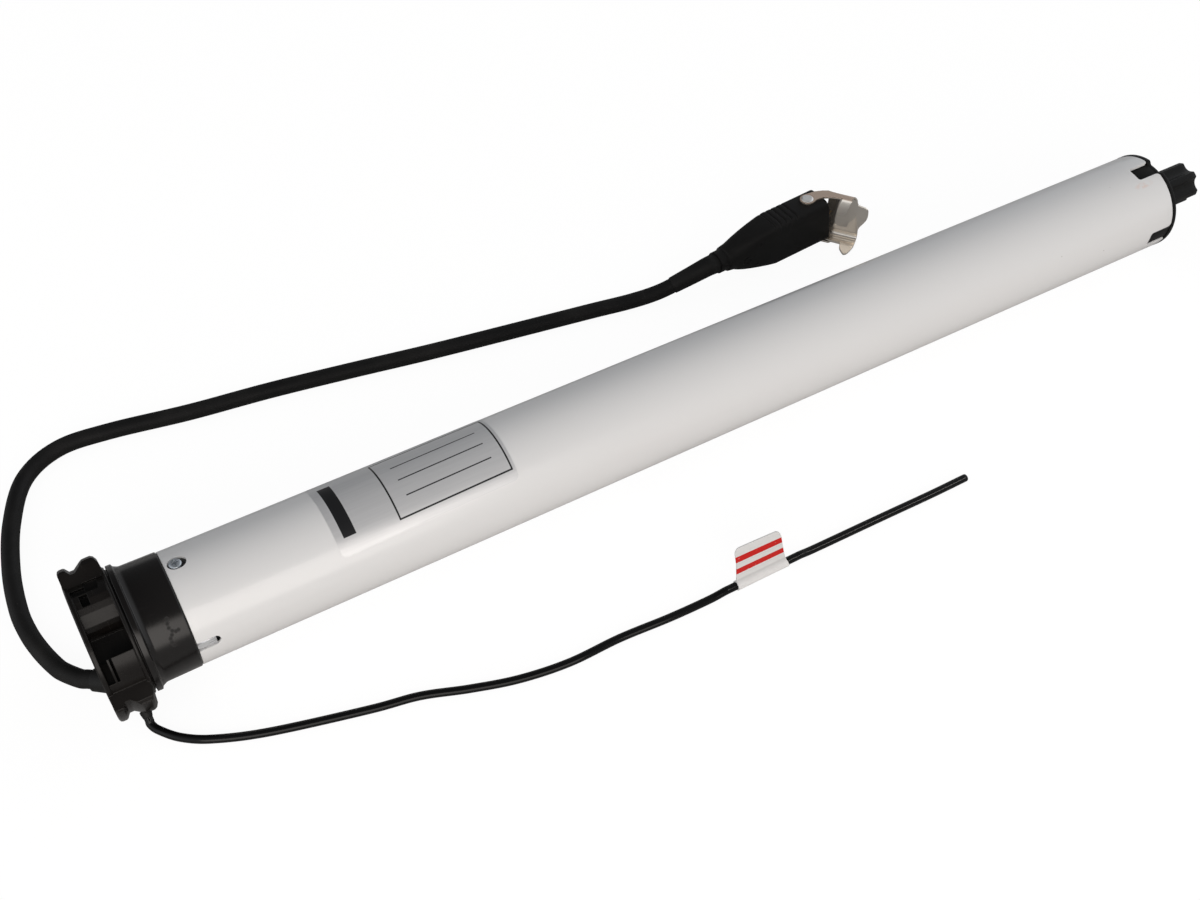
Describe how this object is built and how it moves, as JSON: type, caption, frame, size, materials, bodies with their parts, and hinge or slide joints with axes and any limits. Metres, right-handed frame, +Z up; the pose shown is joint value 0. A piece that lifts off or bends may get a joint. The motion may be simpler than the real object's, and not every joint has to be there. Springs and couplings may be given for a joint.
{
  "type": "tubular roller blind motor",
  "caption": "Slim tubular motor for a roller blind, with a lugged fixed head, a running ring, a fluted output shaft, a plug-in power lead and an aerial wire.",
  "frame": {"origin": "On the table, under the middle of the motor's length, below the tube's axis.", "axes": "+X runs along the tube from the fixed head to the output shaft, +Z is up, +Y completes the right-handed frame and points to the plug's side."},
  "size_m": [0.5667, 0.2116, 0.05],
  "materials": {
    "head_plastic": "satin moulded",
    "ring_plastic": "satin moulded",
    "white_lacquer": "smooth white lacquer",
    "zinc": "die cast",
    "screw_steel": "zinc plated",
    "cord_rubber": "matt",
    "plug_plastic": "fine moulded grain",
    "bail_nickel": "nickel plated",
    "contact_brass": "bright",
    "tag_paper": "plain label stock",
    "wire_skin": "smooth",
    "grey_plastic": "moulded",
    "board_green": "solder mask",
    "relay_blue": "moulded",
    "tin_can": "tinned",
    "terminal_green": "moulded",
    "capacitor_film": "smooth",
    "cast_alloy": "die cast",
    "bush_bronze": "sintered",
    "core_steel": "laminated",
    "copper_wire": "enamelled",
    "brake_steel": "plain",
    "friction_pad": "matt",
    "gear_steel": "plain",
    "gear_plastic": "moulded",
    "cap_plastic": "satin moulded",
    "shaft_plastic": "satin moulded"
  },
  "bodies": {
    "motor": {"drive_head": "head_plastic", "head_spigot": "zinc", "head_screws": "screw_steel", "motor_tube": "white_lacquer", "tube_screws": "screw_steel", "cord_gland": "cord_rubber", "power_cord": "cord_rubber", "plug_housing": "plug_plastic", "plug_insert": "grey_plastic", "plug_contacts": "contact_brass", "bail_rivets": "screw_steel", "aerial_grommet": "wire_skin", "aerial_wire": "wire_skin", "aerial_tag": "tag_paper", "board_cradle": "grey_plastic", "control_board": "board_green", "relays": "relay_blue", "radio_module": "tin_can", "terminal_block": "terminal_green", "run_capacitor": "capacitor_film", "rear_shield": "cast_alloy", "rear_bearing": "bush_bronze", "stator_core": "core_steel", "stator_winding": "copper_wire", "front_shield": "cast_alloy", "front_bearing": "bush_bronze", "brake_coil": "brake_steel", "brake_spring": "screw_steel", "gear_plate": "gear_steel", "gear_housing": "gear_steel", "output_bush": "bush_bronze", "end_cap": "cap_plastic"},
    "rotor": {"rotor_core": "core_steel", "rotor_shaft": "gear_steel", "brake_disc": "friction_pad"},
    "running_ring": {"running_ring": "ring_plastic"},
    "locking_bail": {"locking_bail": "bail_nickel"},
    "brake_armature": {"brake_armature": "brake_steel"},
    "carrier_1": {"carrier_1": "gear_steel"},
    "carrier_2": {"carrier_2": "gear_steel"},
    "output": {"carrier_3": "gear_steel", "output_shaft": "shaft_plastic", "shaft_screw": "screw_steel"},
    "planet_1a": {"planet_1a": "gear_plastic"},
    "planet_1b": {"planet_1b": "gear_plastic"},
    "planet_1c": {"planet_1c": "gear_plastic"},
    "planet_2a": {"planet_2a": "gear_plastic"},
    "planet_2b": {"planet_2b": "gear_plastic"},
    "planet_2c": {"planet_2c": "gear_plastic"},
    "planet_3a": {"planet_3a": "gear_plastic"},
    "planet_3b": {"planet_3b": "gear_plastic"},
    "planet_3c": {"planet_3c": "gear_plastic"}
  },
  "joints": [
    {"name": "rotor_spin", "type": "hinge", "parent": "motor", "child": "rotor", "pos_m": [0, 0, 0.025], "axis": [1, 0, 0], "continuous": true},
    {"name": "ring_spin", "type": "hinge", "parent": "motor", "child": "running_ring", "pos_m": [0, 0, 0.025], "axis": [1, 0, 0], "continuous": true},
    {"name": "bail_swing", "type": "hinge", "parent": "motor", "child": "locking_bail", "pos_m": [0.10353, 0.0793, 0.0137], "axis": [0, 0, 1], "range_deg": [-60, 75]},
    {"name": "brake_slide", "type": "slide", "parent": "motor", "child": "brake_armature", "axis": [-1, 0, 0], "range_m": [0, 0.0004], "stiffness_N_per_m": 800, "springref_m": -0.0005},
    {"name": "carrier_1_turn", "type": "hinge", "parent": "motor", "child": "carrier_1", "pos_m": [0, 0, 0.025], "axis": [1, 0, 0], "continuous": true},
    {"name": "planet_1a_turn", "type": "hinge", "parent": "carrier_1", "child": "planet_1a", "pos_m": [0, 0, 0.0136], "axis": [1, 0, 0], "continuous": true},
    {"name": "planet_1b_turn", "type": "hinge", "parent": "carrier_1", "child": "planet_1b", "pos_m": [0, 0.00987, 0.0307], "axis": [1, 0, 0], "continuous": true},
    {"name": "planet_1c_turn", "type": "hinge", "parent": "carrier_1", "child": "planet_1c", "pos_m": [0, -0.00987, 0.0307], "axis": [1, 0, 0], "continuous": true},
    {"name": "carrier_2_turn", "type": "hinge", "parent": "motor", "child": "carrier_2", "pos_m": [0, 0, 0.025], "axis": [1, 0, 0], "continuous": true},
    {"name": "planet_2a_turn", "type": "hinge", "parent": "carrier_2", "child": "planet_2a", "pos_m": [0, 0, 0.0136], "axis": [1, 0, 0], "continuous": true},
    {"name": "planet_2b_turn", "type": "hinge", "parent": "carrier_2", "child": "planet_2b", "pos_m": [0, 0.00987, 0.0307], "axis": [1, 0, 0], "continuous": true},
    {"name": "planet_2c_turn", "type": "hinge", "parent": "carrier_2", "child": "planet_2c", "pos_m": [0, -0.00987, 0.0307], "axis": [1, 0, 0], "continuous": true},
    {"name": "output_turn", "type": "hinge", "parent": "motor", "child": "output", "pos_m": [0, 0, 0.025], "axis": [1, 0, 0], "continuous": true},
    {"name": "planet_3a_turn", "type": "hinge", "parent": "output", "child": "planet_3a", "pos_m": [0, 0, 0.0136], "axis": [1, 0, 0], "continuous": true},
    {"name": "planet_3b_turn", "type": "hinge", "parent": "output", "child": "planet_3b", "pos_m": [0, 0.00987, 0.0307], "axis": [1, 0, 0], "continuous": true},
    {"name": "planet_3c_turn", "type": "hinge", "parent": "output", "child": "planet_3c", "pos_m": [0, -0.00987, 0.0307], "axis": [1, 0, 0], "continuous": true}
  ],
  "couplings": [
    {"joint": "carrier_1_turn", "follows": "rotor_spin", "ratio": 0.1875},
    {"joint": "planet_1a_turn", "follows": "rotor_spin", "ratio": -0.4875},
    {"joint": "planet_1b_turn", "follows": "rotor_spin", "ratio": -0.4875},
    {"joint": "planet_1c_turn", "follows": "rotor_spin", "ratio": -0.4875},
    {"joint": "carrier_2_turn", "follows": "rotor_spin", "ratio": 0.035156},
    {"joint": "planet_2a_turn", "follows": "rotor_spin", "ratio": -0.091406},
    {"joint": "planet_2b_turn", "follows": "rotor_spin", "ratio": -0.091406},
    {"joint": "planet_2c_turn", "follows": "rotor_spin", "ratio": -0.091406},
    {"joint": "output_turn", "follows": "rotor_spin", "ratio": 0.0065918},
    {"joint": "planet_3a_turn", "follows": "rotor_spin", "ratio": -0.017139},
    {"joint": "planet_3b_turn", "follows": "rotor_spin", "ratio": -0.017139},
    {"joint": "planet_3c_turn", "follows": "rotor_spin", "ratio": -0.017139}
  ]
}
